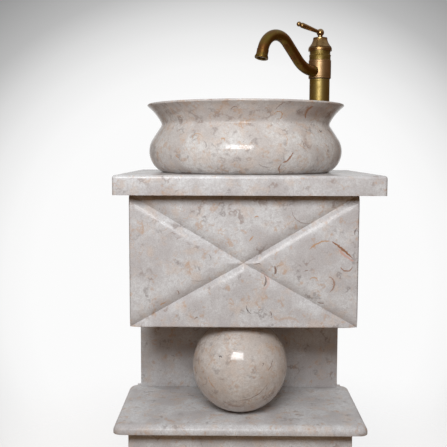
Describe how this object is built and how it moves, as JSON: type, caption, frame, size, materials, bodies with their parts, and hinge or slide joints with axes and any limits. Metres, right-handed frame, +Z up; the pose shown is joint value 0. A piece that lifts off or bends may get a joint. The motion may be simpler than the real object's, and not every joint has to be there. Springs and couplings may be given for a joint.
{
  "type": "pedestal basin",
  "caption": "Stone pedestal basin: turned vessel bowl on a slab, a carved cross-grooved box, a ball and shelf on a plinth, and a tall swivel-spout lever tap with waste and trap.",
  "frame": {"origin": "on the floor, at the middle of the object's box seen from above", "axes": "+X to the user's right, +Y back towards the wall, +Z up; the front faces -Y"},
  "size_m": [0.526, 0.466, 1.1023],
  "materials": {
    "stone": "polished",
    "warm_stone": "polished",
    "antique_brass": "satin",
    "plain_brass": "satin",
    "steel": "satin",
    "rubber": "matte",
    "sealant": "satin",
    "white_plastic": "matte",
    "copper": "satin"
  },
  "bodies": {
    "root": {"counter_slab": "stone", "carved_front_panel": "stone", "upper_left_panel": "stone", "upper_right_panel": "stone", "upper_soffit": "stone", "column_front_panel": "stone", "column_left_panel": "stone", "column_right_panel": "stone", "shelf_slab": "stone", "plinth_front_panel": "stone", "plinth_left_panel": "stone", "plinth_right_panel": "stone", "stone_ball": "warm_stone", "basin_bowl": "warm_stone", "waste_body": "antique_brass", "trap_dip_tube": "antique_brass", "trap_head": "antique_brass", "trap_cup": "antique_brass", "trap_outlet_pipe": "antique_brass", "tap_base_ring": "antique_brass", "tap_column": "antique_brass", "spout_retaining_ring": "antique_brass", "tap_bonnet": "antique_brass", "waste_nut": "plain_brass", "coupling_nut": "plain_brass", "trap_inlet_nut": "plain_brass", "trap_outlet_nut": "plain_brass", "tap_shank": "plain_brass", "fixing_nut": "plain_brass", "valve_body": "plain_brass", "cartridge_clamp_nut": "plain_brass", "ball_dowels": "steel", "fixing_washer": "steel", "waste_flange_seal": "rubber", "waste_under_seal": "rubber", "coupling_seal": "rubber", "trap_inlet_seal": "rubber", "trap_cup_seal": "rubber", "trap_outlet_seal": "rubber", "tap_foot_gasket": "rubber", "fixing_gasket": "rubber", "spout_seals": "rubber", "bowl_sealant": "sealant", "spout_glide_ring": "white_plastic", "cartridge_body": "white_plastic", "supply_tails": "copper"},
    "spout": {"spout_sleeve": "antique_brass", "spout_tube": "antique_brass", "aerator_housing": "antique_brass", "aerator_insert": "white_plastic"},
    "lever_base": {"cartridge_rotor": "steel", "rotor_pin": "steel"},
    "lever": {"lever_stem": "steel", "lever_hub": "antique_brass", "lever_arm": "antique_brass", "lever_grub_screw": "steel"},
    "plug": {"waste_plug": "antique_brass", "plug_seal": "rubber", "plug_spindle": "steel"}
  },
  "joints": [
    {"name": "spout_swivel", "type": "hinge", "parent": "root", "child": "spout", "pos_m": [0.18, 0.175, 0.9936], "axis": [0, 0, 1], "continuous": true},
    {"name": "lever_turn", "type": "hinge", "parent": "root", "child": "lever_base", "pos_m": [0.18, 0.175, 1.0646], "axis": [0, 0, 1], "range_deg": [-45, 45]},
    {"name": "lever_lift", "type": "hinge", "parent": "lever_base", "child": "lever", "pos_m": [0.18, 0.175, 1.0646], "axis": [-0.6951, 0.7189, 0], "range_deg": [0, 18]},
    {"name": "plug_lift", "type": "slide", "parent": "root", "child": "plug", "axis": [0, 0, 1], "range_m": [0, 0.008]}
  ]
}
